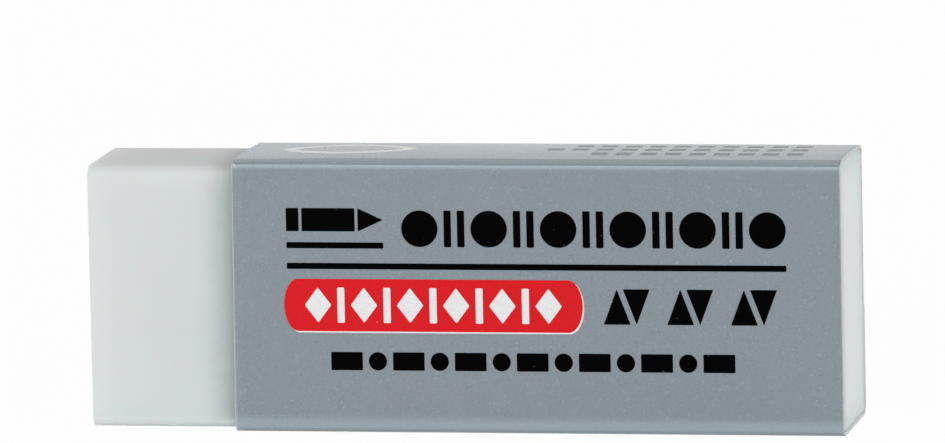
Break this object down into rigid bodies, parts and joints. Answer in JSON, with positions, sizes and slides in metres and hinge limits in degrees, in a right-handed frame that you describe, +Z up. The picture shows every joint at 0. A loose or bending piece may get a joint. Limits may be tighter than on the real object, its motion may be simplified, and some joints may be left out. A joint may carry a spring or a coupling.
{
  "type": "rubber eraser",
  "caption": "Soft white vinyl eraser block in a folded, printed grey card sleeve that slides along it, standing on its narrow side.",
  "frame": {"origin": "middle of the whole part's footprint, on the surface that the sleeve stands on", "axes": "+X along the block towards the end that is flush with the sleeve, -Y out of the printed front, +Z up"},
  "size_m": [0.062, 0.0126, 0.0227],
  "materials": {
    "vinyl": "soft matt, milky and slightly see-through",
    "card": "fine-grained silver-grey print with a satin sheen",
    "black_ink": "satin ink",
    "white_ink": "matt ink",
    "red_ink": "satin ink",
    "pale_ink": "matt ink",
    "grey_ink": "matt ink"
  },
  "bodies": {
    "sleeve": {"card_sleeve": "card", "black_print": "black_ink", "white_print": "white_ink", "red_print": "red_ink", "pale_print": "pale_ink", "grey_print": "grey_ink"},
    "block": {"eraser_block": "vinyl"}
  },
  "joints": [
    {"name": "block_slide", "type": "slide", "parent": "sleeve", "child": "block", "axis": [1, 0, 0], "range_m": [-0.038, 0.05]}
  ]
}
